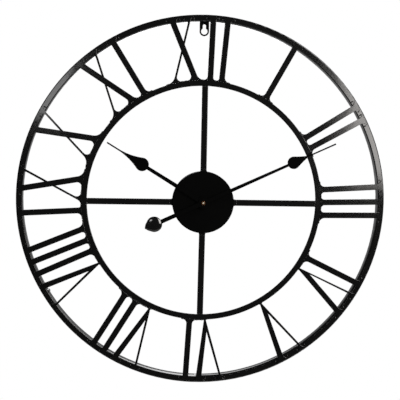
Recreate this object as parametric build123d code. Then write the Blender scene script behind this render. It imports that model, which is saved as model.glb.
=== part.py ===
from build123d import *
from math import acos, atan2, cos, degrees, hypot, radians, sin, sqrt
import os

# Skeleton wall clock, about 600 mm across: a rolled tube rim, an inner ring and twelve
# cut plate numerals, four spokes, a hub cup that hides a quartz movement, and two hands.
#
# It is modelled lying on its back: X to the right and Y up on the dial, Z from the wall
# towards the viewer, with the wall at Z = 0. Clock angles are in degrees, clockwise from
# twelve. The rim, ring and numerals are drawn round the rim's centre. The spokes, hub,
# movement and hands are drawn round the spindle, which is welded in a little off centre.
# save() stands each piece up against the wall, front to -Y, with the origin in the
# hanger's hole.

# ---- driving dimensions, in millimetres -------------------------------------------
rim_radius = 300.0
rim_width = 10.0
rim_depth = 20.0
rim_corner = 1.5
rim_wall = 1.2
weep_radius = 1.5
rim_weld_angle = 238.5
rim_weld_radius = 4.0
rim_weld_height = 1.8

plate_thickness = 2.0
ring_inner_radius = 186.0
ring_outer_radius = 195.2
spoke_width = 10.0
spoke_angles = {"top": 0.0, "right": 89.9, "bottom": 180.5, "left": 269.8}
spindle_right = 2.1
spindle_drop = 2.1

thick_stroke = 9.4
thin_stroke = 3.4
base_radius = 196.0
foot_radius = 297.6
foot_end_radius = 297.0
base_fillet = 6.5
lean_gain = 3.0
foot_fillet = 9.0
gap_share = 0.46
notch_radius = 216.0
notch_offset = 0.6
vee_point = 3.0
root_margin = 4.1
vee_margin = 0.8
overrun = 0.6
spare_length = 3.0

hub_radius = 50.0
hub_front = 27.0
hub_back = 4.0
hub_sheet = 1.2
hub_edge = 1.0

hanger_height = 275.0
hanger_width = 15.4
hanger_thickness = 1.5
hanger_hole_radius = 5.1
hanger_slot_width = 5.0
hanger_slot_top = 286.4

hand_thickness = 0.8
hour_hand_angle = -58.8
minute_hand_angle = 65.1
hour_hand_back = hub_front + 5.4
minute_hand_back = hub_front + 8.0

case_size = 56.0
case_depth = 16.5
case_wall = 1.0
case_front_wall = 1.5
battery_wall = 0.9
cover_thickness = 1.5
rubber_washer_thickness = 0.8
partition_top = -10.2
partition_bottom = -11.0
fit_gap = 0.05

bush_radius = 4.0
bush_clearance = 0.2
bush_front = hub_front + 4.0
washer_radius = 8.0
washer_thickness = 0.6
fixing_nut_flats = 12.0
fixing_nut_height = 2.5
nut_chamfer = 0.4
hour_pipe_radius = 2.5
hour_pipe_front = hub_front + 6.9
minute_pipe_radius = 1.5
minute_pipe_front = hub_front + 10.6
collar_radius = 5.0
collar_neck_radius = 3.6
hour_collar_back = hub_front + 4.5
minute_collar_radius = 4.0
minute_neck_radius = 2.6
minute_collar_back = hub_front + 7.2
minute_nut_flats = 6.4
minute_nut_height = 1.8
weight_distance = 85.5
weight_radius = 11.7
weight_point = 103.0
weight_height = 3.2
weight_edge = 2.4
tail_width = 6.7

case_corner = 2.0
contact_slot = 1.9
arbor_radius = 0.4
knob_shaft_radius = 1.2
minute_pin_radius = 0.75
pivot_front = 0.9
minute_pin_start = 7.2
rear_pivot = 8.0
middle_pivot = 8.6
pivot_back = 15.6
end_gap = 0.1
middle_plate_right = 18.6
plate_step = 8.3
tip_share = 0.9
root_share = 1.15
tip_half = 0.11
root_half = 0.31
rubber_washer_radius = 11.0
knob_ribs = 30
knob_rib_module = 0.33
knob_height = 4.5
knob_clearance = 0.5

# Layers of the movement: how far behind the front of its case each starts and ends.
reverse_pinion_layer = (2.2, 4.2)
hour_wheel_layer = (2.4, 3.4)
cannon_layer = (3.8, 5.6)
knob_pinion_layer = (4.0, 5.4)
reverse_wheel_layer = (4.2, 5.2)
contact_layer = (4.5, 12.8)
third_pinion_layer = (5.4, 7.2)
minute_wheel_layer = (5.8, 6.8)
middle_plate = (7.8, 8.8)
rotor_pinion_layer = (9.0, 10.3)
fifth_wheel_layer = (9.3, 9.9)
second_pinion_layer = (10.0, 11.6)
third_wheel_layer = (10.4, 11.2)
core_layer = (10.8, 11.8)
magnet_layer = (11.3, 13.3)
fifth_pinion_layer = (11.6, 13.2)
stator_layer = (11.8, 12.8)
second_wheel_layer = (12.0, 12.8)

magnet_radius = 3.0
magnet_gap = 0.5
eye_half = 4.6
right_arm_start = 0.6
post_width = 3.5
core_half = 1.5
coil_height = 15.0
coil_depth = 11.3
coil_radius = 2.4
coil_left, coil_right = 2.2, 15.2
bobbin_radius = 1.9
flange = 0.7
core_left, core_right = -2.0, 19.9
arm_bottom, arm_top = 8.6, 11.2
board_margin = 0.3
board_bottom = 20.3
board_back = 9.8
cell_radius = 7.25
cell_half = 25.25
cell_nub = 1.2
cell_nub_radius = 2.75
cell_edge = 0.6
contact_gap = 0.05
contact_thickness = 0.4
pad_reach = 4.5
strip_reach = 2.5
chip_radius = 2.5
chip_height = 1.2
chip_left = -12.0
crystal_radius = 1.0
crystal_left, crystal_right = 2.0, 8.0
component_height = 23.4
cell_height = -18.75
cell_depth = 8.35

rim_inner_radius = rim_radius - rim_width
dial_back = rim_depth
hub_inside = hub_front - hub_sheet
case_front = hub_inside - rubber_washer_thickness
case_inside = case_size / 2 - case_wall

# The strokes of each numeral, read clockwise, with the clock angle of each stroke's
# outer and inner end. The numerals are set out by hand, so their spacing is uneven.
# A V is a thin stroke, then a thick one. A cross is thick from outer left to inner right.
numerals = {
    "numeral_01_I": [("bar", 30.3, 31.0)],
    "numeral_02_II": [("bar", 57.7, 57.7), ("bar", 62.3, 63.1)],
    "numeral_03_III": [("bar", 84.6, 83.7), ("bar", 89.4, 89.8), ("bar", 93.7, 96.0)],
    "numeral_04_IV": [("bar", 117.0, 117.6), ("vee", 120.8, 128.4, 123.9)],
    "numeral_05_V": [("vee", 144.6, 152.4, 149.1)],
    "numeral_06_VI": [("vee", 172.7, 180.1, 177.4), ("bar", 184.2, 184.8)],
    "numeral_07_VII": [("vee", 200.6, 208.2, 204.8), ("bar", 212.1, 212.3), ("bar", 216.1, 218.4)],
    "numeral_08_VIII": [
        ("vee", 233.4, 240.9, 237.8),
        ("bar", 245.1, 244.7),
        ("bar", 249.2, 250.2),
        ("bar", 253.1, 256.0),
    ],
    "numeral_09_IX": [("bar", 265.4, 264.7), ("cross", 272.9, 279.9, 279.7, 269.4)],
    "numeral_10_X": [("cross", 292.0, 299.9, 299.1, 289.3)],
    "numeral_11_XI": [("cross", 317.1, 325.0, 323.7, 313.7), ("bar", 329.8, 330.9)],
    "numeral_12_XII": [
        ("cross", -10.6, -3.8, -4.5, -14.1),
        ("bar", 2.6, 3.0),
        ("bar", 7.2, 8.4),
    ],
}


# ---- helpers ------------------------------------------------------------------------
def on_dial(radius, clock_angle):
    """The point at a radius and a clock angle."""
    return (radius * sin(radians(clock_angle)), radius * cos(radians(clock_angle)))


def save(name, shape):
    """Stand a piece up against the wall and write it."""
    upright = Location((0, 0, -hanger_height)) * Plane.XZ.location
    export_step(upright * shape, f"parts/{name}.step")


def plate(face, back, thickness):
    """A flat plate cut to a face, from its back towards the viewer."""
    return extrude(Pos(0, 0, back) * face, thickness)


def rod(radius, back, front, x=0.0, y=0.0):
    """A round rod along the depth."""
    return Pos(x, y, (back + front) / 2) * Cylinder(radius, front - back)


def tube(outer, inner, back, front, x=0.0, y=0.0):
    """A round tube along the depth."""
    return rod(outer, back, front, x, y) - rod(inner, back - 1, front + 1, x, y)


def block(x0, x1, y0, y1, back, front):
    """A rectangular block between its six limits."""
    centre = ((x0 + x1) / 2, (y0 + y1) / 2, (back + front) / 2)
    return Pos(*centre) * Box(x1 - x0, y1 - y0, front - back)


# ---- frame --------------------------------------------------------------------------
def make_rim():
    """The rolled rectangular tube, with a weep hole in its back at the bottom."""
    middle = rim_radius - rim_width / 2
    skin = RectangleRounded(rim_width, rim_depth, rim_corner)
    inner_corner = rim_corner - rim_wall
    hollow = RectangleRounded(rim_width - 2 * rim_wall, rim_depth - 2 * rim_wall, inner_corner)
    section = Plane.XZ * Pos(middle, rim_depth / 2) * (skin - hollow)
    rim = revolve(section, Axis.Z)
    return rim - rod(weep_radius, -1, 2 * rim_wall, 0, -middle)


def make_rim_weld():
    """The ground bead where the two ends of the rolled tube meet, on its inside."""
    x, y = on_dial(rim_inner_radius + rim_weld_radius - rim_weld_height, rim_weld_angle)
    bead = rod(rim_weld_radius, rim_corner, rim_depth - rim_corner, x, y)
    return bead & rod(rim_inner_radius, 0, rim_depth)


def make_spoke(clock_angle):
    """A flat bar from the hub cup's skirt to the inner ring."""
    length = ring_inner_radius - hub_radius + spoke_width
    bar = Pos(0, hub_radius + length / 2) * Rectangle(spoke_width, length)
    bar = bar + Pos(0, hub_radius) * Rectangle(spoke_width, spoke_width)
    bar = Rot(0, 0, -clock_angle) * bar
    ring_hole = Pos(-spindle_right, spindle_drop) * Circle(ring_inner_radius)
    return plate((bar & ring_hole) - Circle(hub_radius), dial_back, plate_thickness)


def make_hub_cup():
    """A pressed cup, open to the wall, with the spindle's hole in its face."""
    cup = rod(hub_radius, hub_back, hub_front)
    cup = fillet(cup.edges().group_by(Axis.Z)[-1], hub_edge)
    cup = cup - rod(hub_radius - hub_sheet, hub_back - 1, hub_inside)
    return cup - rod(bush_radius + bush_clearance, hub_back, hub_front + 1)


def make_hanger():
    """The keyhole tab under the rim's top: a round hole that opens up into a slot."""
    reach = rim_radius - hanger_height
    shank = Pos(0, hanger_height + reach / 2) * Rectangle(hanger_width, reach)
    end = Pos(0, hanger_height) * Circle(hanger_width / 2)
    hole = Pos(0, hanger_height) * Circle(hanger_hole_radius)
    slot_end = hanger_slot_top - hanger_slot_width / 2
    slot_length = slot_end - hanger_height
    slot = Pos(0, hanger_height + slot_length / 2) * Rectangle(hanger_slot_width, slot_length)
    slot = slot + Pos(0, slot_end) * Circle(hanger_slot_width / 2)
    tab = ((shank + end) & Circle(rim_inner_radius)) - hole - slot
    return plate(tab, 0, hanger_thickness)


# ---- numerals -----------------------------------------------------------------------
def polygon(*corners):
    return make_face(Polyline(*corners, close=True))


def arm(inner, outer, width):
    """A stroke's four corners: left inner, left outer, right outer, right inner."""
    length = hypot(outer[0] - inner[0], outer[1] - inner[1])
    side_x = width / 2 * (inner[1] - outer[1]) / length
    side_y = width / 2 * (outer[0] - inner[0]) / length
    return [
        (inner[0] + side_x, inner[1] + side_y),
        (outer[0] + side_x, outer[1] + side_y),
        (outer[0] - side_x, outer[1] - side_y),
        (inner[0] - side_x, inner[1] - side_y),
    ]


def slide_to(start, along, distance, outward):
    """Move a point along a direction until it lies at a distance from the rim's centre."""
    b = start.dot(along)
    return start + along * (outward * sqrt(b * b - start.dot(start) + distance**2) - b)


def web(near, far, void_side, circle, radius):
    """The fillet between a stroke's side and a circle, where the side runs near to far."""
    near = Vector(*near)
    along = (Vector(*far) - near).normalized()
    across = Vector(-along.Y, along.X) * void_side
    outward = 1 if along.dot(near) > 0 else -1
    centre = slide_to(near + across * radius, along, circle + outward * radius, outward)
    corner = slide_to(near, along, circle, outward)
    on_side = centre - across * radius
    on_circle = centre.normalized() * circle
    return polygon(corner, on_side, on_circle) - Pos(centre) * Circle(radius)


def band(inner, outer, from_angle, to_angle):
    """The part of a flat ring between two clock angles."""
    corners = [(0, 0), on_dial(2 * outer, from_angle), on_dial(2 * outer, to_angle)]
    return (Circle(outer) - Circle(inner)) & polygon(*corners)


def straight_arm(outer_angle, inner_angle, width):
    """A stroke between two clock angles, with spare length at both ends to be trimmed."""
    inner = Vector(*on_dial(base_radius - overrun, inner_angle))
    outer = Vector(*on_dial(foot_radius + overrun, outer_angle))
    spare = (outer - inner).normalized() * spare_length
    inner, outer = inner - spare, outer + spare
    return arm((inner.X, inner.Y), (outer.X, outer.Y), width)


def vee_arms(thin_angle, thick_angle, apex_angle):
    """The thin and the thick arm of a V, which share its notch and its blunt point."""
    thin_half = degrees(thin_stroke / 2 / foot_radius)
    thick_half = degrees(thick_stroke / 2 / foot_radius)
    point_half = degrees(vee_point / 2 / base_radius)
    bottom, top = base_radius - overrun, foot_radius + overrun
    notch = on_dial(notch_radius, apex_angle - notch_offset)
    thin = [
        on_dial(bottom, apex_angle - point_half),
        on_dial(top, thin_angle - thin_half),
        on_dial(top, thin_angle + thin_half),
        notch,
    ]
    thick = [
        notch,
        on_dial(top, thick_angle - thick_half),
        on_dial(top, thick_angle + thick_half),
        on_dial(bottom, apex_angle + point_half),
    ]
    return [thin, thick]


def open_lean(points, end, left_or_right):
    """How far a side leans away from its void at one end: the sine of the lean, never below 0."""
    here = Vector(*points[end])
    along = (Vector(*points[1 - end]) - here).normalized()
    clockwise = Vector(here.Y, -here.X).normalized()
    return max(0, left_or_right * along.dot(clockwise))


def flares(arms, end, circle, largest):
    """The webs at one end of the arms: end 0 is their roots and end 1 their feet."""
    sides = []
    for left_in, left_out, right_out, right_in in arms:
        sides.append(((left_in, left_out), 1))
        sides.append(((right_in, right_out), -1))
    start_x, start_y = sides[0][0][end]
    start = degrees(atan2(start_x, start_y))

    def turn(side):
        x, y = side[0][end]
        return (degrees(atan2(x, y)) - start + 180) % 360 - 180

    sides.sort(key=turn)
    found = []
    for index, (points, left_or_right) in enumerate(sides):
        across = index + 1 if index % 2 else index - 1
        radius = largest
        if 0 <= across < len(sides):
            gap = Vector(*points[end]) - Vector(*sides[across][0][end])
            radius = min(largest, gap_share * gap.length)
        if end == 0:
            radius *= 1 + lean_gain * open_lean(points, end, left_or_right)
        void_side = -left_or_right if end else left_or_right
        found.append(web(points[end], points[1 - end], void_side, circle, radius))
    return found


def make_numeral(strokes):
    """One numeral: strokes with flared feet on the rim and flared roots on a narrow base."""
    faces = []
    rooted = []
    footed = []
    for kind, *angles in strokes:
        if kind == "vee":
            thin, thick = vee_arms(*angles)
            faces.append(polygon(*thin, *thick[1:]))
            footed += [thin, thick]
            continue
        arms = [straight_arm(angles[0], angles[1], thick_stroke)]
        if kind == "cross":
            arms.append(straight_arm(angles[2], angles[3], thin_stroke))
        faces += [polygon(*corners) for corners in arms]
        rooted += arms
        footed += arms
    if rooted:
        faces += flares(rooted, 0, base_radius, base_fillet)
    faces += flares(footed, 1, foot_radius, foot_fillet)
    inner_angles = [angle for stroke in strokes for angle in inner_ends(*stroke)]
    start = min(inner_angles) - (vee_margin if strokes[0][0] == "vee" else root_margin)
    end = max(inner_angles) + (vee_margin if strokes[-1][0] == "vee" else root_margin)
    face = Sketch() + faces
    face = face & (Circle(foot_end_radius) - Circle(base_radius - overrun / 2))
    face = face + band(ring_outer_radius, base_radius, start, end)
    return plate(face, dial_back, plate_thickness)


def inner_ends(kind, *angles):
    """The clock angles at which a stroke meets the inner ring."""
    ends = {"bar": angles[1:2], "cross": angles[1::2], "vee": angles[2:3]}
    return ends[kind]


# ---- hands --------------------------------------------------------------------------
def spade_hand(boss, hub_width, neck_width, bulb, shoulder, hollow, needle):
    """A spade hand that points to twelve, from its centre boss to its needle tip.

    The bulb has a distance and a radius, the needle a start, a width and a tip. The
    blade leaves the bulb at the shoulder angle and curves in by the hollow.
    """
    bulb_distance, bulb_radius = bulb
    needle_start, needle_width, tip = needle
    half = needle_width / 2
    out, up = bulb_radius * cos(radians(shoulder)), bulb_radius * sin(radians(shoulder))
    right_side, left_side = (out, bulb_distance + up), (-out, bulb_distance + up)
    right_root, left_root = (half, needle_start), (-half, needle_start)
    middle = ((out + half) / 2 - hollow, (right_side[1] + needle_start) / 2)
    taper = [
        ThreePointArc(right_side, middle, right_root),
        Line(right_root, left_root),
        ThreePointArc(left_root, (-middle[0], middle[1]), left_side),
        Line(left_side, right_side),
    ]
    hub, neck = hub_width / 2, neck_width / 2
    stem = polygon((-hub, 0), (-neck, bulb_distance), (neck, bulb_distance), (hub, 0))
    base = needle_start - 1
    point = polygon((-half, base), (-half, tip), (half, tip), (half, base))
    blade = make_face(taper) + Pos(0, bulb_distance) * Circle(bulb_radius)
    return blade + stem + point + Circle(boss)


def teardrop():
    """The counterweight's outline: a circle drawn out to a point away from the spindle."""
    lean = acos(weight_radius / (weight_point - weight_distance))
    side_x = weight_radius * sin(lean)
    side_y = -weight_distance - weight_radius * cos(lean)
    point = polygon((-side_x, side_y), (side_x, side_y), (0, -weight_point))
    return Pos(0, -weight_distance) * Circle(weight_radius) + point


def make_hour_hand():
    outline = spade_hand(
        boss=10.0,
        hub_width=7.2,
        neck_width=5.6,
        bulb=(116.5, 10.9),
        shoulder=20.0,
        hollow=2.0,
        needle=(158.0, 2.4, 182.6),
    )
    hand = plate(outline - Circle(collar_neck_radius), hour_hand_back, hand_thickness)
    return Rot(0, 0, -hour_hand_angle) * hand


def make_minute_hand():
    outline = spade_hand(
        boss=8.0,
        hub_width=6.4,
        neck_width=4.2,
        bulb=(159.8, 10.1),
        shoulder=24.0,
        hollow=0.5,
        needle=(184.8, 2.4, 234.6),
    )
    tail = Pos(0, -weight_distance / 2) * Rectangle(tail_width, weight_distance)
    outline = outline + tail + teardrop() - Circle(minute_neck_radius)
    return Rot(0, 0, -minute_hand_angle) * plate(outline, minute_hand_back, hand_thickness)


def make_counterweight():
    """The domed weight on the front of the minute hand's tail."""
    weight = plate(teardrop(), minute_hand_back + hand_thickness, weight_height)
    weight = fillet(weight.edges().group_by(Axis.Z)[-1], weight_edge)
    return Rot(0, 0, -minute_hand_angle) * weight


def make_hour_collar():
    """The collar that fixes the hour hand on the hour wheel's pipe."""
    collar = tube(collar_radius, hour_pipe_radius, hour_collar_back, hour_hand_back)
    return collar + tube(collar_neck_radius, hour_pipe_radius, hour_hand_back, hour_pipe_front)


def make_minute_collar():
    """The collar that fixes the minute hand on the minute wheel's pipe."""
    front = minute_hand_back + hand_thickness
    collar = tube(minute_collar_radius, minute_pipe_radius, minute_collar_back, minute_hand_back)
    return collar + tube(minute_neck_radius, minute_pipe_radius, minute_hand_back, front)


def hex_nut(across_flats, hole, back, height):
    """A hexagonal nut with its front corners turned down."""
    front = back + height
    turned = rod(across_flats / sqrt(3), back, front)
    turned = chamfer(turned.edges().group_by(Axis.Z)[-1], nut_chamfer)
    hexagon = plate(RegularPolygon(across_flats / 2, 6, major_radius=False), back, height)
    return (hexagon & turned) - rod(hole, back - 1, front + 1)


# ---- movement case --------------------------------------------------------------------
# Inside the movement, depths are measured from the front of its case towards the wall.
def level(depth):
    return case_front - depth


def inner_rod(radius, front, back, place=(0, 0)):
    return rod(radius, level(back), level(front), *place)


def inner_block(x0, x1, y0, y1, front, back):
    return block(x0, x1, y0, y1, level(back), level(front))


def make_case():
    """The movement's moulded case, open to the wall, with a wall above the battery."""
    half = case_size / 2
    case = inner_block(-half, half, -half, half, 0, case_depth)
    case = fillet(case.edges().filter_by(Axis.Z), case_corner)
    sides = (-case_inside, case_inside)
    opened = case_depth + 1
    case -= inner_block(*sides, partition_top, case_inside, case_front_wall, opened)
    case -= inner_block(*sides, -case_inside, partition_bottom, battery_wall, opened)
    for side in (-1, 1):
        slot = sorted((side * (case_inside - contact_slot), side * case_inside))
        case -= inner_block(*slot, partition_bottom - 1, partition_top + 1, case_front_wall, opened)
    case -= inner_rod(bush_radius, -1, case_front_wall + 1)
    for place in (reverse_place, knob_place):
        case -= inner_rod(arbor_radius + fit_gap, pivot_front - fit_gap, case_front_wall + 1, place)
    return case


def make_cover():
    """The flat back cover over the train, with blind pivot holes and the knob's hole."""
    inside = case_depth - cover_thickness
    cover = inner_block(-case_inside, case_inside, partition_top, case_inside, inside, case_depth)
    for place in ((0, 0), third_place, fifth_place, rotor_place):
        cover -= inner_rod(arbor_radius + fit_gap, inside - 1, pivot_back + fit_gap, place)
    return cover - inner_rod(knob_shaft_radius + fit_gap, inside - 1, case_depth + 1, knob_place)


def make_middle_plate():
    """The plate that carries the train's front pivots and the minute wheel's rear pivot."""
    plate_front, plate_back = middle_plate
    bridge = inner_block(-case_inside, middle_plate_right, partition_top, case_inside, *middle_plate)
    bridge -= inner_rod(minute_pin_radius + fit_gap, plate_front - 1, plate_step)
    bridge -= inner_rod(arbor_radius + fit_gap, plate_step, plate_back + 1)
    for place in (third_place, fifth_place, rotor_place, reverse_place):
        bridge -= inner_rod(arbor_radius + fit_gap, plate_front - 1, plate_back + 1, place)
    return bridge - inner_rod(knob_shaft_radius + fit_gap, plate_front - 1, plate_back + 1, knob_place)


def make_bush():
    """The threaded bush that the movement is clamped by and the hour pipe turns in."""
    bush = inner_rod(bush_radius, case_front - bush_front, case_front_wall)
    bush = chamfer(bush.edges().group_by(Axis.Z)[-1], nut_chamfer)
    return bush - rod(hour_pipe_radius + fit_gap, level(case_front_wall) - 1, bush_front + 1)


# ---- gear train -----------------------------------------------------------------------
def gear(teeth, module, layer, place=(0, 0), tooth_at=0.0):
    """A spur gear with straight-flanked teeth, one of them centred on an angle."""
    front, back = layer
    pitch = 360 / teeth
    tip = module * (teeth / 2 + tip_share)
    root = module * (teeth / 2 - root_share)
    outline = []
    for tooth in range(teeth):
        middle = tooth_at + tooth * pitch
        corners = ((root, -root_half), (tip, -tip_half), (tip, tip_half), (root, root_half))
        for radius, turn in corners:
            angle = radians(middle + turn * pitch)
            outline.append((radius * cos(angle), radius * sin(angle)))
    return Pos(*place) * plate(polygon(*outline), level(back), back - front)


def meshed(teeth, other_teeth, other_tooth_at, direction):
    """Where a gear has a tooth when it meshes with another one that lies behind it.

    The direction is the angle from the other gear's centre to this one's.
    """
    offset = other_tooth_at - direction
    return direction + 180 + 180 / teeth - offset * other_teeth / teeth


def placed(start, distance, direction):
    angle = radians(direction)
    return (start[0] + distance * cos(angle), start[1] + distance * sin(angle))


# Tooth counts. The rotor makes 1800 turns, and the second wheel 60, for one of the minute
# hand, which makes 12 for one of the hour hand.
cannon_teeth, reverse_teeth, reverse_pinion_teeth, hour_teeth, knob_teeth = 12, 36, 12, 48, 18
minute_teeth, third_pinion_teeth, third_teeth, second_pinion_teeth = 64, 8, 60, 8
second_teeth, fifth_pinion_teeth, fifth_teeth, rotor_teeth = 60, 12, 60, 10

setting_module = 0.5
hour_module = 0.4
third_module = 0.25
rotor_module = 0.2
third_distance = third_module * (third_teeth + second_pinion_teeth) / 2
minute_module = 2 * third_distance / (minute_teeth + third_pinion_teeth)

reverse_direction = 60.0
knob_direction = 160.0
third_direction = 180.0
fifth_direction = 20.0
rotor_direction = -10.0
reverse_distance = setting_module * (cannon_teeth + reverse_teeth) / 2
reverse_place = placed((0, 0), reverse_distance, reverse_direction)
knob_distance = setting_module * (reverse_teeth + knob_teeth) / 2
knob_place = placed(reverse_place, knob_distance, knob_direction)
third_place = placed((0, 0), third_distance, third_direction)
fifth_distance = third_module * (second_teeth + fifth_pinion_teeth) / 2
fifth_place = placed((0, 0), fifth_distance, fifth_direction)
rotor_distance = rotor_module * (fifth_teeth + rotor_teeth) / 2
rotor_place = placed(fifth_place, rotor_distance, rotor_direction)


def make_cannon_pinion():
    """The minute hand's arbor, from its rear pin to its nut, with the cannon pinion."""
    pinion = gear(cannon_teeth, setting_module, cannon_layer, (0, 0), reverse_direction)
    arbor = rod(minute_pipe_radius, level(minute_pin_start), minute_pipe_front)
    return pinion + arbor + inner_rod(minute_pin_radius, minute_pin_start, plate_step - end_gap)


def make_minute_wheel():
    wheel = gear(minute_teeth, minute_module, minute_wheel_layer)
    return wheel - inner_rod(minute_pipe_radius, *third_pinion_layer)


def make_reverse_wheel():
    """The wheel between the cannon pinion and the hour wheel."""
    tooth = meshed(reverse_teeth, cannon_teeth, reverse_direction, reverse_direction)
    wheel = gear(reverse_teeth, setting_module, reverse_wheel_layer, reverse_place, tooth)
    toward_spindle = reverse_direction + 180
    layer = reverse_pinion_layer
    pinion = gear(reverse_pinion_teeth, hour_module, layer, reverse_place, toward_spindle)
    return wheel + pinion + inner_rod(arbor_radius, pivot_front, middle_pivot, reverse_place)


def make_hour_wheel():
    """The hour wheel and the pipe that carries the hour hand."""
    toward_spindle = reverse_direction + 180
    tooth = meshed(hour_teeth, reverse_pinion_teeth, toward_spindle, toward_spindle)
    wheel = gear(hour_teeth, hour_module, hour_wheel_layer, (0, 0), tooth)
    back = level(hour_wheel_layer[1])
    wheel += rod(hour_pipe_radius, back, hour_pipe_front)
    return wheel - rod(minute_pipe_radius + fit_gap, back - 1, hour_pipe_front + 1)


def make_setting_knob():
    """The knob on the movement's back that turns the hands, with its shaft and pinion."""
    reverse_tooth = meshed(reverse_teeth, cannon_teeth, reverse_direction, reverse_direction)
    tooth = meshed(knob_teeth, reverse_teeth, reverse_tooth, knob_direction)
    shaft_front = knob_pinion_layer[0]
    grip_layer = (case_depth + knob_clearance, case_depth + knob_height)
    knob = gear(knob_teeth, setting_module, knob_pinion_layer, knob_place, tooth)
    knob += inner_rod(arbor_radius, pivot_front, shaft_front, knob_place)
    knob += inner_rod(knob_shaft_radius, shaft_front, case_depth + 1, knob_place)
    return knob + gear(knob_ribs, knob_rib_module, grip_layer, knob_place)


def make_third_wheel():
    pinion_tooth = meshed(third_pinion_teeth, minute_teeth, 0, third_direction)
    layer = third_pinion_layer
    pinion = gear(third_pinion_teeth, minute_module, layer, third_place, pinion_tooth)
    toward_spindle = third_direction + 180
    wheel = gear(third_teeth, third_module, third_wheel_layer, third_place, toward_spindle)
    return pinion + wheel + inner_rod(arbor_radius, layer[0], pivot_back, third_place)


def make_second_wheel():
    toward_spindle = third_direction + 180
    pinion_tooth = meshed(second_pinion_teeth, third_teeth, toward_spindle, toward_spindle)
    pinion = gear(second_pinion_teeth, third_module, second_pinion_layer, (0, 0), pinion_tooth)
    wheel = gear(second_teeth, third_module, second_wheel_layer, (0, 0), fifth_direction)
    return pinion + wheel + inner_rod(arbor_radius, plate_step + end_gap, pivot_back)


def make_fifth_wheel():
    pinion_tooth = meshed(fifth_pinion_teeth, second_teeth, fifth_direction, fifth_direction)
    layer = fifth_pinion_layer
    pinion = gear(fifth_pinion_teeth, third_module, layer, fifth_place, pinion_tooth)
    wheel = gear(fifth_teeth, rotor_module, fifth_wheel_layer, fifth_place, rotor_direction)
    return pinion + wheel + inner_rod(arbor_radius, rear_pivot, pivot_back, fifth_place)


def make_rotor():
    """The step motor's magnet, with the train's first pinion."""
    tooth = meshed(rotor_teeth, fifth_teeth, rotor_direction, rotor_direction)
    pinion = gear(rotor_teeth, rotor_module, rotor_pinion_layer, rotor_place, tooth)
    magnet = inner_rod(magnet_radius, *magnet_layer, rotor_place)
    return pinion + magnet + inner_rod(arbor_radius, rear_pivot, pivot_back, rotor_place)


# ---- motor, circuit and battery ---------------------------------------------------------
def make_stator():
    """The flat stator: an eye round the rotor, and two arms up to the coil's core."""
    x, y = rotor_place
    left, right = x - eye_half, x + eye_half
    eye = inner_block(left, right, y - eye_half, coil_height, *stator_layer)
    eye -= inner_block(left - 1, x + right_arm_start, arm_top, coil_height + 1, *magnet_layer)
    arm = inner_block(core_left, left, arm_bottom, arm_top, *stator_layer)
    post = (core_left, core_left + post_width, arm_top, coil_height + core_half)
    arm += inner_block(*post, *stator_layer)
    return eye + arm - inner_rod(magnet_radius + magnet_gap, *magnet_layer, rotor_place)


def make_coil_core():
    low, high = coil_height - core_half, coil_height + core_half
    return inner_block(core_left, core_right, low, high, *core_layer)


def along_x(radius, x0, x1, y, depth):
    """A round rod that runs from left to right."""
    return Pos((x0 + x1) / 2, y, level(depth)) * Rot(0, 90, 0) * Cylinder(radius, x1 - x0)


def make_bobbin():
    """The coil's former: two flanges and a barrel round the core."""
    barrel = along_x(bobbin_radius, coil_left, coil_right, coil_height, coil_depth)
    for x in (coil_left, coil_right - flange):
        barrel += along_x(coil_radius, x, x + flange, coil_height, coil_depth)
    return barrel - make_coil_core()


def make_coil():
    ends = (coil_left + flange, coil_right - flange)
    winding = along_x(coil_radius, *ends, coil_height, coil_depth)
    return winding - along_x(bobbin_radius, *ends, coil_height, coil_depth)


def make_battery():
    """A size AA cell that lies across the bottom of the case."""
    shoulder = cell_half - cell_nub
    cell = along_x(cell_radius, -cell_half, shoulder, cell_height, cell_depth)
    cell = fillet(cell.edges().filter_by(GeomType.CIRCLE), cell_edge)
    return cell + along_x(cell_nub_radius, shoulder, cell_half, cell_height, cell_depth)


def make_contact(side):
    """A battery contact strip, from the cell's end up the case to the circuit board."""
    near = cell_half + contact_gap
    x0, x1 = sorted((side * near, side * (near + contact_thickness)))
    back = contact_layer[1]
    pad = inner_block(x0, x1, cell_height - pad_reach, partition_bottom, *contact_layer)
    return pad + inner_block(x0, x1, partition_bottom, board_bottom + strip_reach, board_back, back)


def make_circuit_board():
    edge = case_inside - board_margin
    return inner_block(-edge, edge, board_bottom, edge, middle_plate[1], board_back)


# ---- the whole clock ----------------------------------------------------------------------
def make_frame_parts():
    """The pieces that are drawn round the rim's centre."""
    parts = {
        "rim_tube": make_rim(),
        "rim_joint_weld": make_rim_weld(),
        "inner_ring": tube(ring_outer_radius, ring_inner_radius, dial_back, dial_back + plate_thickness),
        "hanger_tab": make_hanger(),
    }
    for name, strokes in numerals.items():
        parts[name] = make_numeral(strokes)
    return parts


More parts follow.
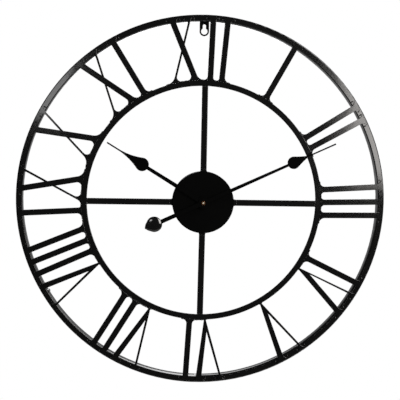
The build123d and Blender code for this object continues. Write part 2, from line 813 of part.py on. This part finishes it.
def make_centre_parts():
    """The pieces that are drawn round the spindle."""
    washer_front = hub_front + washer_thickness
    nut_back = minute_hand_back + hand_thickness
    chip_place = (chip_left, component_height)
    crystal_depth = board_back + crystal_radius
    parts = {
        "hub_cup": make_hub_cup(),
        "movement_case": make_case(),
        "movement_cover": make_cover(),
        "middle_plate": make_middle_plate(),
        "threaded_bush": make_bush(),
        "rubber_washer": tube(rubber_washer_radius, bush_radius, case_front, hub_inside),
        "brass_washer": tube(washer_radius, bush_radius, hub_front, washer_front),
        "fixing_nut": hex_nut(fixing_nut_flats, bush_radius, washer_front, fixing_nut_height),
        "cannon_pinion": make_cannon_pinion(),
        "minute_wheel": make_minute_wheel(),
        "reverse_wheel": make_reverse_wheel(),
        "hour_wheel": make_hour_wheel(),
        "setting_knob": make_setting_knob(),
        "third_wheel": make_third_wheel(),
        "second_wheel": make_second_wheel(),
        "fifth_wheel": make_fifth_wheel(),
        "rotor": make_rotor(),
        "stator": make_stator(),
        "coil_core": make_coil_core(),
        "coil_bobbin": make_bobbin(),
        "coil": make_coil(),
        "circuit_board": make_circuit_board(),
        "clock_chip": inner_rod(chip_radius, board_back, board_back + chip_height, chip_place),
        "quartz_crystal": along_x(
            crystal_radius, crystal_left, crystal_right, component_height, crystal_depth
        ),
        "battery": make_battery(),
        "contact_plus": make_contact(1),
        "contact_minus": make_contact(-1),
        "hour_hand": make_hour_hand(),
        "hour_hand_collar": make_hour_collar(),
        "minute_hand": make_minute_hand(),
        "minute_hand_collar": make_minute_collar(),
        "counterweight": make_counterweight(),
        "minute_hand_nut": hex_nut(minute_nut_flats, minute_pipe_radius, nut_back, minute_nut_height),
    }
    for side, clock_angle in spoke_angles.items():
        parts["spoke_" + side] = make_spoke(clock_angle)
    return {name: Pos(spindle_right, -spindle_drop) * part for name, part in parts.items()}


os.makedirs("parts", exist_ok=True)
for part_name, part_shape in {**make_frame_parts(), **make_centre_parts()}.items():
    save(part_name, part_shape)
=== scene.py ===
"""Open-faced iron wall clock: materials, weld beads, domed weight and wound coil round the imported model."""

import math
import random

import bmesh
import bpy
from mathutils import Matrix, Vector, noise


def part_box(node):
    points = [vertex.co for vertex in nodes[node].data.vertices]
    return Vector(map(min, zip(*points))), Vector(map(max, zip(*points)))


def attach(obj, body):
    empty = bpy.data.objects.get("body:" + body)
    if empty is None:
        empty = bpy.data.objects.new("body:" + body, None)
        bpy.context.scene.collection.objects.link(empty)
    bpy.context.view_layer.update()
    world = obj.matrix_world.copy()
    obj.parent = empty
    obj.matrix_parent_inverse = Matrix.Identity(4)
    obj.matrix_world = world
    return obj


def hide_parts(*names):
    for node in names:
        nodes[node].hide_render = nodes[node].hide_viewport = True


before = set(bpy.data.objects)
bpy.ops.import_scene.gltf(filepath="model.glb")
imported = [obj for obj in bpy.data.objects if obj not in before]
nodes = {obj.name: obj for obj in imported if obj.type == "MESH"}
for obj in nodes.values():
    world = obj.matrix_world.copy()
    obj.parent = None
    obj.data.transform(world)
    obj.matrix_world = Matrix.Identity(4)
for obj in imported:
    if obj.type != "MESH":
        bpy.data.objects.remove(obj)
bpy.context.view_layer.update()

MM = 0.001
FRONT = Vector((0, -1, 0))

# ---------------------------------------------------------------- places read from the model

ring_low, ring_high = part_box("inner_ring")
rim_low, rim_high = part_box("rim_tube")
hub_low, hub_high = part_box("hub_cup")
AXIS = Vector(((ring_low.x + ring_high.x) / 2, 0, (ring_low.z + ring_high.z) / 2))
RIM_OUTER = (rim_high.x - rim_low.x) / 2
RIM_FACE = rim_low.y
PLATE_FACE = ring_low.y
RING_OUTER = (ring_high.x - ring_low.x) / 2
HUB_RADIUS = (hub_high.x - hub_low.x) / 2
SPINDLE = Vector(((hub_low.x + hub_high.x) / 2, 0, (hub_low.z + hub_high.z) / 2))


def outward(angle):
    """The direction of a clock angle in degrees, clockwise from twelve."""
    return Vector((math.sin(math.radians(angle)), 0, math.cos(math.radians(angle))))


def on_dial(radius, angle, y, centre=AXIS):
    """A point at a radius and a clock angle round a centre."""
    return Vector((centre.x, y, centre.z)) + outward(angle) * radius


def dial_place(point, centre=AXIS):
    """The radius and clock angle of a point."""
    x, z = point.x - centre.x, point.z - centre.z
    return math.hypot(x, z), math.degrees(math.atan2(x, z))


# ---------------------------------------------------------------- material graphs


class Graph:
    """A material's node tree with one Principled shader, built a few words at a time."""

    def __init__(self, name, **values):
        self.material = bpy.data.materials.new(name)
        self.material.use_nodes = True
        self.tree = self.material.node_tree
        self.shader = self.tree.nodes["Principled BSDF"]
        self.coords = self.tree.nodes.new("ShaderNodeTexCoord").outputs["Object"]
        self.normal = None
        for words, value in values.items():
            self.shader.inputs[words.replace("_", " ")].default_value = value

    def node(self, kind, **settings):
        made = self.tree.nodes.new(kind)
        for name, value in settings.items():
            setattr(made, name, value)
        return made

    def feed(self, socket, value):
        if isinstance(value, bpy.types.NodeSocket):
            self.tree.links.new(value, socket)
        else:
            socket.default_value = value

    def stretched(self, x=1, y=1, z=1, turn=0, about=None):
        """Object coordinates scaled by axis, turned about Y and measured from a point."""
        moved = self.node("ShaderNodeVectorMath", operation="SUBTRACT")
        self.feed(moved.inputs[0], self.coords)
        moved.inputs[1].default_value = about or (0, 0, 0)
        mapped = self.node("ShaderNodeMapping")
        self.feed(mapped.inputs["Vector"], moved.outputs[0])
        mapped.inputs["Rotation"].default_value = (0, turn, 0)
        mapped.inputs["Scale"].default_value = (x, y, z)
        return mapped.outputs[0]

    def noise(self, size, detail=2.0, roughness=0.5, coords=None):
        """Noise with blotches of about this size, in metres."""
        made = self.node("ShaderNodeTexNoise")
        self.feed(made.inputs["Vector"], coords or self.coords)
        made.inputs["Scale"].default_value = 1 / size
        made.inputs["Detail"].default_value = detail
        made.inputs["Roughness"].default_value = roughness
        return made.outputs["Fac"]

    def cells(self, size, coords=None):
        made = self.node("ShaderNodeTexVoronoi")
        self.feed(made.inputs["Vector"], coords or self.coords)
        made.inputs["Scale"].default_value = 1 / size
        return made.outputs["Distance"]

    def rings(self, pitch, about, axis="Y"):
        """Turned lines round an axis through a point."""
        made = self.node("ShaderNodeTexWave", wave_type="RINGS", rings_direction=axis)
        self.feed(made.inputs["Vector"], self.stretched(about=about))
        made.inputs["Scale"].default_value = math.tau / (20 * pitch)
        made.inputs["Distortion"].default_value = 0.6
        made.inputs["Detail"].default_value = 2.0
        return made.outputs["Fac"]

    def spread(self, value, low, high, start=0.0, end=1.0):
        """Maps start..end of a value to low..high."""
        made = self.node("ShaderNodeMapRange")
        self.feed(made.inputs["Value"], value)
        made.inputs["From Min"].default_value = start
        made.inputs["From Max"].default_value = end
        made.inputs["To Min"].default_value = low
        made.inputs["To Max"].default_value = high
        return made.outputs[0]

    def mix(self, share, a, b):
        """Colour a where share is 0 and b where it is 1."""
        made = self.node("ShaderNodeMix", data_type="RGBA")
        self.feed(made.inputs["Factor"], share)
        self.feed(made.inputs["A"], a)
        self.feed(made.inputs["B"], b)
        return made.outputs["Result"]

    def math(self, operation, a, b):
        made = self.node("ShaderNodeMath", operation=operation)
        self.feed(made.inputs[0], a)
        self.feed(made.inputs[1], b)
        return made.outputs[0]

    def bump(self, height, depth, strength=1.0):
        """Adds relief of a depth in metres on top of any relief already there."""
        made = self.node("ShaderNodeBump")
        self.feed(made.inputs["Height"], height)
        made.inputs["Distance"].default_value = depth
        made.inputs["Strength"].default_value = strength
        if self.normal is not None:
            self.feed(made.inputs["Normal"], self.normal)
        self.normal = made.outputs[0]
        self.feed(self.shader.inputs["Normal"], self.normal)

    def set(self, socket, value):
        self.feed(self.shader.inputs[socket], value)

    def edge_share(self, start=0.52, end=0.60):
        """0 on flats and 1 on sharp convex edges."""
        return self.spread(self.node("ShaderNodeNewGeometry").outputs["Pointiness"], 0, 1, start, end)


def grey(level):
    return (level, level, level, 1)


# ---------------------------------------------------------------- one function for each finish


def gloss_enamel(name, level=0.0035, rough=(0.16, 0.30), peel=0.02):
    """Black stoved enamel: orange peel, faint ripples, dust and a thin rub along edges."""
    g = Graph(name, IOR=1.5)
    cloud = g.noise(55 * MM, 4.0)
    dust = g.spread(g.noise(1.1 * MM, 3.0), 0, 1, 0.66, 0.80)
    paint = g.mix(cloud, grey(level), grey(level * 2.0))
    paint = g.mix(g.math("MULTIPLY", dust, 0.10), paint, grey(0.06))
    g.set("Base Color", g.mix(g.math("MULTIPLY", g.edge_share(), 0.20), paint, (0.030, 0.027, 0.024, 1)))
    g.set("Roughness", g.spread(g.noise(30 * MM, 5.0, 0.6), rough[0], rough[1], 0.25, 0.75))
    g.bump(g.noise(16 * MM, 2.0), 0.10 * MM, 0.5)
    g.bump(g.noise(1.3 * MM, 2.0), peel * MM, 0.6)
    return g.material


def matt_paint(name, level, rough, gleam):
    """Flat black paint with a dry, slightly cloudy surface."""
    g = Graph(name, IOR=1.4, Specular_IOR_Level=gleam)
    cloud = g.noise(18 * MM, 5.0, 0.6)
    g.set("Base Color", g.mix(cloud, grey(level), grey(level * 1.9)))
    g.set("Roughness", g.spread(g.noise(6 * MM, 4.0), rough, rough + 0.14))
    g.bump(g.noise(0.5 * MM, 3.0), 0.02 * MM, 0.6)
    return g.material


def lacquer():
    """Thick glossy black lacquer."""
    g = Graph("counterweight_gloss", IOR=1.5, Coat_Weight=0.8, Coat_Roughness=0.03)
    g.set("Base Color", g.mix(g.noise(6 * MM), grey(0.002), grey(0.005)))
    g.set("Roughness", g.spread(g.noise(3 * MM, 4.0), 0.06, 0.16))
    g.bump(g.noise(2.5 * MM), 0.02 * MM, 0.5)
    return g.material


def turned_metal(name, dark, light, about, rough=0.22, pitch=0.12):
    """Metal off the lathe: fine rings round the clock's axis and a few stains."""
    g = Graph(name, Metallic=1.0)
    lines = g.rings(pitch * MM, about)
    stain = g.noise(2.2 * MM, 5.0, 0.65)
    g.set("Base Color", g.mix(stain, dark, light))
    g.set("Roughness", g.spread(g.noise(0.7 * MM, 3.0), rough, rough + 0.16))
    g.bump(lines, 0.012 * MM, 0.5)
    return g.material


def rolled_metal(name, dark, light, rough=0.28, along=(1, 30, 30)):
    """Sheet or strip metal with the fine drawn lines of its rolling."""
    g = Graph(name, Metallic=1.0)
    grain = g.noise(9 * MM, 4.0, 0.6, g.stretched(*along))
    g.set("Base Color", g.mix(grain, dark, light))
    g.set("Roughness", g.spread(grain, rough, rough + 0.15))
    g.bump(grain, 0.01 * MM, 0.4)
    return g.material


def moulded(name, dark, light, rough=0.42, grain=0.5, relief=0.03, sheen=0.0):
    """Injection-moulded plastic: spark-eroded grain and soft flow clouds."""
    g = Graph(name, IOR=1.5, Sheen_Weight=sheen)
    flow = g.noise(14 * MM, 3.0, 0.5, g.stretched(1, 1, 0.4))
    g.set("Base Color", g.mix(flow, dark, light))
    g.set("Roughness", g.spread(g.noise(4 * MM, 4.0), rough, rough + 0.12))
    g.bump(g.cells(grain * MM), relief * MM, 0.45)
    return g.material


def winding_wire():
    """Enamelled copper wire."""
    g = Graph("copper_wire", Metallic=0.9, Coat_Weight=0.5, Coat_Roughness=0.12)
    g.set("Base Color", g.mix(g.noise(1.5 * MM, 3.0), (0.42, 0.13, 0.045, 1), (0.70, 0.27, 0.10, 1)))
    g.set("Roughness", g.spread(g.noise(0.6 * MM), 0.22, 0.36))
    return g.material


def laminate():
    """Green solder resist over copper tracks and a woven glass core."""
    low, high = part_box("circuit_board")
    g = Graph("circuit_laminate", IOR=1.5, Coat_Weight=0.3, Coat_Roughness=0.2)
    tracks = g.node("ShaderNodeTexBrick", offset=0.37)
    g.feed(tracks.inputs["Vector"], g.stretched(1, 1, 1, about=tuple(low)))
    tracks.inputs["Scale"].default_value = 1 / (high.z - low.z) * 3
    tracks.inputs["Mortar Size"].default_value = 0.05
    weave = g.noise(0.5 * MM, 2.0)
    board = g.mix(weave, (0.010, 0.070, 0.030, 1), (0.016, 0.100, 0.040, 1))
    g.set("Base Color", g.mix(tracks.outputs["Fac"], board, (0.05, 0.20, 0.06, 1)))
    g.set("Roughness", g.spread(weave, 0.28, 0.42))
    g.bump(tracks.outputs["Fac"], 0.04 * MM, 0.6)
    return g.material


def resin():
    """A cured drop of black epoxy."""
    g = Graph("chip_resin", IOR=1.55, Coat_Weight=0.4, Coat_Roughness=0.10)
    g.set("Base Color", g.mix(g.noise(1.2 * MM, 4.0), grey(0.008), grey(0.016)))
    g.set("Roughness", g.spread(g.noise(0.8 * MM), 0.18, 0.34))
    g.bump(g.noise(1.5 * MM), 0.05 * MM, 0.5)
    return g.material


def jacket():
    """Battery: printed sleeve with two bands, bare steel at both ends."""
    low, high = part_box("battery")
    length = high.x - low.x
    g = Graph("battery_jacket", IOR=1.5, Coat_Weight=0.3, Coat_Roughness=0.15)
    along = g.node("ShaderNodeSeparateXYZ")
    g.feed(along.inputs[0], g.stretched(1 / length, 1, 1, about=tuple(low)))
    place = along.outputs["X"]
    scuff = g.spread(g.noise(3 * MM, 5.0, 0.7), 0, 0.35, 0.45, 0.8)
    sleeve = g.mix(scuff, (0.012, 0.045, 0.120, 1), (0.040, 0.090, 0.190, 1))
    band = g.math("GREATER_THAN", place, 0.70)
    sleeve = g.mix(band, sleeve, (0.50, 0.51, 0.52, 1))
    bare = g.math("ADD", g.math("LESS_THAN", place, 0.035), g.math("GREATER_THAN", place, 0.955))
    g.set("Base Color", g.mix(bare, sleeve, (0.60, 0.59, 0.56, 1)))
    g.set("Metallic", bare)
    g.set("Roughness", g.spread(g.noise(2 * MM, 4.0), 0.24, 0.40))
    g.bump(g.noise(8 * MM), 0.05 * MM, 0.4)
    return g.material


axis_point = tuple(AXIS)
WHITE_PLASTIC = ((0.62, 0.61, 0.57, 1), (0.72, 0.71, 0.68, 1))
BRASS = ((0.45, 0.24, 0.07, 1), (0.78, 0.52, 0.20, 1))
RED_BRASS = ((0.22, 0.07, 0.03, 1), (0.58, 0.29, 0.13, 1))
finishes = {
    "frame_paint": gloss_enamel("frame_paint", 0.0030, (0.07, 0.13), 0.006),
    "hub_paint": matt_paint("hub_paint", 0.0015, 0.62, 0.025),
    "hand_paint": matt_paint("hand_paint", 0.0006, 0.62, 0.05),
    "counterweight_gloss": lacquer(),
    "hand_nut_brass": turned_metal("hand_nut_brass", *RED_BRASS, axis_point, 0.12),
    "bush_brass": turned_metal("bush_brass", *BRASS, axis_point),
    "washer_rubber": moulded("washer_rubber", grey(0.012), grey(0.022), 0.70, 0.3, 0.02),
    "movement_plastic": moulded("movement_plastic", grey(0.010), grey(0.016), 0.40),
    "train_plastic": moulded("train_plastic", *WHITE_PLASTIC, 0.35, 0.4, 0.01),
    "wheel_plastic": moulded("wheel_plastic", (0.55, 0.50, 0.38, 1), (0.66, 0.62, 0.50, 1), 0.30, 0.3, 0.008),
    "knob_plastic": moulded("knob_plastic", *WHITE_PLASTIC, 0.38, 0.4, 0.01),
    "magnet": rolled_metal("magnet", grey(0.05), grey(0.12), 0.35),
    "stator_steel": rolled_metal("stator_steel", grey(0.32), grey(0.46), 0.24),
    "bobbin_plastic": moulded("bobbin_plastic", grey(0.015), grey(0.025), 0.42, 0.4, 0.01),
    "copper_wire": winding_wire(),
    "circuit_laminate": laminate(),
    "chip_resin": resin(),
    "crystal_can": rolled_metal("crystal_can", grey(0.50), grey(0.66), 0.20),
    "battery_jacket": jacket(),
    "contact_plating": rolled_metal("contact_plating", (0.48, 0.46, 0.42, 1), (0.62, 0.60, 0.55, 1), 0.18),
}

for node in nodes.values():
    for place, old in enumerate(node.data.materials):
        node.data.materials[place] = finishes[old.name.split(".")[0]]

# ---------------------------------------------------------------- softened edges on the CAD nodes

EDGE_RADIUS = {
    "rim_tube": 0.60, "inner_ring": 0.60, "hub_cup": 0.35, "hanger_tab": 0.25,
    "movement_case": 0.30, "movement_cover": 0.30, "hour_hand": 0.12, "minute_hand": 0.12,
    "setting_knob": 0.20, "minute_hand_nut": 0.10, "fixing_nut": 0.20,
}
PLATE_EDGE = 0.60


def soften(node, radius):
    """Joins the imported facets and rounds sharp edges by a radius in millimetres."""
    weld = node.modifiers.new("joined", "WELD")
    weld.merge_threshold = 0.002 * MM
    bevel = node.modifiers.new("rounded", "BEVEL")
    bevel.width = radius * MM
    bevel.segments = 3
    bevel.limit_method = "ANGLE"
    bevel.angle_limit = math.radians(40)
    bevel.harden_normals = False


for name, node in nodes.items():
    if name in EDGE_RADIUS:
        soften(node, EDGE_RADIUS[name])
    elif name.startswith(("numeral", "spoke")):
        soften(node, PLATE_EDGE)

# ---------------------------------------------------------------- new pieces


def new_piece(name, bm, slot, body, replaced=()):
    """Turns a bmesh into a smooth object that rides on a body and takes a slot's finish."""
    mesh = bpy.data.meshes.new(name)
    bmesh.ops.recalc_face_normals(bm, faces=bm.faces)
    bm.to_mesh(mesh)
    bm.free()
    for face in mesh.polygons:
        face.use_smooth = True
    piece = bpy.data.objects.new(name, mesh)
    bpy.context.scene.collection.objects.link(piece)
    mesh.materials.append(finishes[slot])
    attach(piece, body)
    if replaced:
        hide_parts(*replaced)
    return piece


def add_bead(bm, centre, along, length, width, height, seed):
    """A run of weld metal on a face that looks along -Y: a rippled oval dome, half sunk in the plate."""
    along = along.normalized()
    across = along.cross(FRONT)
    made = bmesh.ops.create_icosphere(bm, subdivisions=3, radius=1)
    for vertex in made["verts"]:
        u, v, w = vertex.co
        shift = Vector((seed * 7.3, 0, 0))
        lump = 1 + 0.22 * noise.noise(vertex.co * 1.7 + shift)
        ripple = 1 + 0.07 * math.sin(9 * u + seed)
        vertex.co = (
            centre
            + along * (u * lump * length / 2)
            + across * (v * lump * ripple * width / 2)
            + FRONT * (w * lump * ripple * height)
        )


def weld_run(bm, centre, along, size, rng):
    """A bead of a random length between a size's shortest and longest."""
    shortest, longest, width, height = size
    length = rng.uniform(shortest, longest)
    add_bead(bm, centre, along, length * MM, width * MM, height * MM, rng.random() * 9)


def spans(node, low, high):
    """The stretches of clock angle where a node has material between two radii."""
    angles = sorted(
        angle for radius, angle in (dial_place(v.co) for v in node.data.vertices) if low < radius < high
    )
    groups = []
    for angle in angles:
        if groups and angle - groups[-1][1] < 1.2:
            groups[-1][1] = angle
        else:
            groups.append([angle, angle])
    if len(groups) > 1 and groups[0][0] + 360 - groups[-1][1] < 1.2:
        groups[0][0] = groups[-1][0] - 360
        groups.pop()
    return groups


# Bead sizes in millimetres: shortest, longest, width, height.
BASE_BEAD = (3.0, 5.0, 2.0, 0.9)
SLOT_BEAD = (2.2, 3.4, 1.8, 0.9)
FOOT_BEAD = (3.0, 5.0, 2.2, 1.3)
SPOKE_BEAD = (3.4, 5.2, 1.5, 0.55)
# Radii in metres between which a numeral's base band, its roots and its feet are found.
BASE_BAND = (0.1960, 0.1972)
ROOT_BAND = (0.2010, 0.2080)
FOOT_BAND = (0.2915, 0.2990)
# The widest slot between two roots, in degrees, that has a weld run in it.
SLOT_SPAN = 5.0


def bead_numeral(name, node):
    """Weld runs at the ends of a numeral's base band, in its slots and where its feet lie on the rim."""
    rng = random.Random(name)
    bm = bmesh.new()
    for start, end in spans(node, *BASE_BAND):
        for angle, way in ((start, 1), (end, -1)):
            inset = way * rng.uniform(0.8, 1.6)
            centre = on_dial(RING_OUTER + 0.3 * MM, angle + inset, PLATE_FACE + 0.25 * MM)
            along = outward(angle + 90)
            weld_run(bm, centre, along, BASE_BEAD, rng)
    roots = spans(node, *ROOT_BAND)
    for (_, before), (after, _) in zip(roots, roots[1:]):
        if after - before < SLOT_SPAN:
            centre = on_dial(RING_OUTER, (before + after) / 2 + rng.uniform(-0.4, 0.4), PLATE_FACE + 0.3 * MM)
            along = outward((before + after) / 2 + 90)
            weld_run(bm, centre, along, SLOT_BEAD, rng)
    for start, end in spans(node, *FOOT_BAND):
        for angle in (start, end):
            centre = on_dial(RIM_OUTER - rng.uniform(5.0, 7.0) * MM, angle, RIM_FACE)
            along = outward(angle)
            weld_run(bm, centre, along, FOOT_BEAD, rng)
    new_piece("weld_" + name, bm, "frame_paint", "frame")


for name, node in nodes.items():
    if name.startswith("numeral"):
        bead_numeral(name, node)


# Distance of the spots at the hub's skirt from the middle of a spoke.
SKIRT_BEAD_OFFSET = 4.7 * MM


def bead_spokes():
    """Weld runs at both ends of each spoke, on its front face, and spots at the hub's skirt."""
    rng = random.Random("spokes")
    bm = bmesh.new()
    for name in ("spoke_top", "spoke_right", "spoke_bottom", "spoke_left"):
        low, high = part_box(name)
        middle = (low + high) / 2
        angle = dial_place(middle, SPINDLE)[1]
        across = outward(angle + 90)
        reach = max(dial_place(v.co, SPINDLE)[0] for v in nodes[name].data.vertices)
        for radius, half in ((HUB_RADIUS + 4.2 * MM, 2.6), (reach - 0.6 * MM, 3.2)):
            middle = on_dial(radius, angle, PLATE_FACE, SPINDLE)
            for side in (-1, 1):
                spot = middle + across * side * rng.uniform(1.8, half) * MM
                weld_run(bm, spot, across, SPOKE_BEAD, rng)
        root = on_dial(HUB_RADIUS + 0.6 * MM, angle, PLATE_FACE + 0.6 * MM, SPINDLE)
        for side in (-1, 1):
            spot = root + across * side * SKIRT_BEAD_OFFSET
            add_bead(bm, spot, outward(angle), 2.8 * MM, 1.9 * MM, 1.2 * MM, rng.random() * 9)
    new_piece("weld_spokes", bm, "frame_paint", "frame")


bead_spokes()

# ---------------------------------------------------------------- domed counterweight

weight_low, weight_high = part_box("counterweight")
# How far the teardrop's sides swell past straight lines, as a share of its radius.
SIDE_SWELL = 0.09
ARC_POINTS = 80
SIDE_POINTS = 8


def teardrop_outline(centre, radius, reach, tail):
    """Points round a circle drawn out along the tail to a tip with slightly swollen sides."""
    side = tail.cross(FRONT)
    open_angle = math.acos(radius / reach)
    points = []
    for step in range(ARC_POINTS + 1):
        turn = open_angle + (math.tau - 2 * open_angle) * step / ARC_POINTS
        points.append(centre + (tail * math.cos(turn) + side * math.sin(turn)) * radius)
    tip = centre + tail * reach
    first, last = points[0], points[-1]
    for start, end in ((last, tip), (tip, first)):
        outside = (start + end) / 2 - centre
        outside = (outside - tail * outside.dot(tail)).normalized()
        for step in range(SIDE_POINTS):
            share = step / SIDE_POINTS
            swell = radius * SIDE_SWELL * math.sin(math.pi * share)
            points.append(start.lerp(end, share) + outside * swell)
    return points


def make_weight():
    """A cast teardrop, crowned like a pebble, on the minute hand's tail."""
    middle = Vector(((weight_low.x + weight_high.x) / 2, 0, (weight_low.z + weight_high.z) / 2))
    tail = (middle - SPINDLE).normalized()
    points = [v.co - SPINDLE for v in nodes["counterweight"].data.vertices]
    near = min(point.dot(tail) for point in points)
    far = max(point.dot(tail) for point in points)
    radius = max(abs(point.dot(tail.cross(FRONT))) for point in points)
    centre = SPINDLE + tail * (near + radius)
    reach = far - near - radius
    back, top = weight_high.y, weight_low.y
    outline = teardrop_outline(centre, radius, reach, tail)
    wall = 0.7 * MM
    bm = bmesh.new()
    rows = []
    for depth in (back, back - wall * 0.5, back - wall):
        rows.append([bm.verts.new((p.x, depth, p.z)) for p in outline])
    steps = 14
    for step in range(1, steps):
        turn = math.pi / 2 * step / steps
        depth = back - wall + (top - back + wall) * math.sin(turn)
        drawn_in = [centre.lerp(p, math.cos(turn)) for p in outline]
        rows.append([bm.verts.new((p.x, depth, p.z)) for p in drawn_in])
    for lower, upper in zip(rows, rows[1:]):
        for i in range(len(outline)):
            j = (i + 1) % len(outline)
            bm.faces.new((lower[i], lower[j], upper[j], upper[i]))
    crown = bm.verts.new((centre.x, top, centre.z))
    for i in range(len(outline)):
        bm.faces.new((rows[-1][i], rows[-1][(i + 1) % len(outline)], crown))
    bm.faces.new(rows[0])
    new_piece("domed_weight", bm, "counterweight_gloss", "minute_work", ["counterweight"])


make_weight()

# ---------------------------------------------------------------- wound coil

WIRE_PITCH = 0.5 * MM


def make_winding():
    """Turns of wire side by side round an axis along X, which fill the coil's box."""
    low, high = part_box("coil")
    middle = (low + high) / 2
    radius = min(high.y - low.y, high.z - low.z) / 2
    count = int((high.x - low.x) / WIRE_PITCH)
    pitch = (high.x - low.x) / count
    bm = bmesh.new()
    rows = []
    around, profile = 36, 6
    for turn in range(count):
        for step in range(profile):
            phase = math.pi * (step + 0.5) / profile
            x = low.x + pitch * (turn + (1 - math.cos(phase)) / 2)
            reach = radius - pitch / 2 * (1 - math.sin(phase))
            ring = []
            for i in range(around):
                angle = math.tau * i / around
                y, z = middle.y + reach * math.cos(angle), middle.z + reach * math.sin(angle)
                ring.append(bm.verts.new((x, y, z)))
            rows.append(ring)
    for lower, upper in zip(rows, rows[1:]):
        for i in range(around):
            bm.faces.new((lower[i], lower[(i + 1) % around], upper[(i + 1) % around], upper[i]))
    bm.faces.new(rows[0])
    bm.faces.new(rows[-1])
    new_piece("wound_coil", bm, "copper_wire", "frame", ["coil"])


make_winding()

# ---------------------------------------------------------------- camera, stage and light

CAMERA_TARGET = AXIS + Vector((0, -0.022, 0))
CAMERA_DISTANCE = 1.60
CAMERA_LEFT = math.radians(3.07)
CAMERA_RISE = math.radians(4.17)
CAMERA_ROLL = math.radians(1.10)
CAMERA_LENS = 88.6
CAMERA_SHIFT = (-0.0043, 0.0026)
FLOOR_HALF = 1.6
FLOOR_DROP = 0.95
# Strength of the room's light in front of the clock and behind it.
ROOM_FRONT = 0.06
ROOM_BACK = 0.36


def make_camera():
    data = bpy.data.cameras.new("camera")
    data.lens = CAMERA_LENS
    data.sensor_width = 36
    data.shift_x, data.shift_y = CAMERA_SHIFT
    camera = bpy.data.objects.new("camera", data)
    bpy.context.scene.collection.objects.link(camera)
    away = Vector((
        -math.sin(CAMERA_LEFT) * math.cos(CAMERA_RISE),
        -math.cos(CAMERA_LEFT) * math.cos(CAMERA_RISE),
        math.sin(CAMERA_RISE),
    ))
    camera.location = CAMERA_TARGET + away * CAMERA_DISTANCE
    look = (-away).to_track_quat("-Z", "Y").to_matrix().to_4x4()
    camera.matrix_world = Matrix.Translation(camera.location) @ look @ Matrix.Rotation(CAMERA_ROLL, 4, "Z")
    bpy.context.scene.camera = camera


def make_floor():
    """A plain pale floor well below the clock."""
    bm = bmesh.new()
    bmesh.ops.create_grid(bm, x_segments=1, y_segments=1, size=FLOOR_HALF)
    mesh = bpy.data.meshes.new("floor")
    bm.to_mesh(mesh)
    bm.free()
    floor = bpy.data.objects.new("floor", mesh)
    bpy.context.scene.collection.objects.link(floor)
    floor.location = (AXIS.x, 0, AXIS.z - FLOOR_DROP)
    g = Graph("floor_pale")
    g.set("Base Color", g.mix(g.noise(0.3), grey(0.78), grey(0.82)))
    g.set("Roughness", g.spread(g.noise(0.05), 0.6, 0.7))
    mesh.materials.append(g.material)


def make_light(name, place, size, power, colour=(1, 1, 1)):
    """A rectangular softbox aimed at the middle of the clock."""
    data = bpy.data.lights.new(name, "AREA")
    data.shape = "RECTANGLE"
    data.size, data.size_y = size
    data.energy = power
    data.color = colour
    light = bpy.data.objects.new(name, data)
    bpy.context.scene.collection.objects.link(light)
    light.location = AXIS + Vector(place)
    light.rotation_euler = (AXIS - light.location).to_track_quat("-Z", "Y").to_euler()


def make_world():
    """White to look at, and a dim grey room as a source of light, brighter behind the clock."""
    world = bpy.data.worlds.new("studio")
    bpy.context.scene.world = world
    world.use_nodes = True
    tree = world.node_tree
    tree.nodes.clear()
    way = tree.nodes.new("ShaderNodeTexCoord").outputs["Generated"]
    parts = tree.nodes.new("ShaderNodeSeparateXYZ")
    tree.links.new(way, parts.inputs[0])
    room = tree.nodes.new("ShaderNodeMapRange")
    tree.links.new(parts.outputs["Y"], room.inputs["Value"])
    room.inputs["From Min"].default_value = 0.4
    room.inputs["From Max"].default_value = 0.9
    room.inputs["To Min"].default_value = ROOM_FRONT
    room.inputs["To Max"].default_value = ROOM_BACK
    lit = tree.nodes.new("ShaderNodeBackground")
    tree.links.new(room.outputs[0], lit.inputs["Strength"])
    seen = tree.nodes.new("ShaderNodeBackground")
    seen.inputs["Strength"].default_value = 1.0
    seen.inputs["Color"].default_value = grey(1.0)
    mix = tree.nodes.new("ShaderNodeMixShader")
    tree.links.new(tree.nodes.new("ShaderNodeLightPath").outputs["Is Camera Ray"], mix.inputs[0])
    tree.links.new(lit.outputs[0], mix.inputs[1])
    tree.links.new(seen.outputs[0], mix.inputs[2])
    output = tree.nodes.new("ShaderNodeOutputWorld")
    tree.links.new(mix.outputs[0], output.inputs["Surface"])


make_camera()
make_floor()
make_world()
make_light("softbox_right", (0.92, -1.61, 0.37), (0.76, 0.87), 18, (1.0, 0.97, 0.94))
make_light("softbox_left", (-0.49, -1.61, 0.30), (0.30, 0.30), 1.4)
make_light("softbox_high", (1.10, -0.50, 1.00), (0.90, 0.90), 14)
make_light("softbox_back", (0.20, 1.40, 0.60), (1.00, 1.00), 8)
bpy.context.scene.view_settings.view_transform = "Standard"
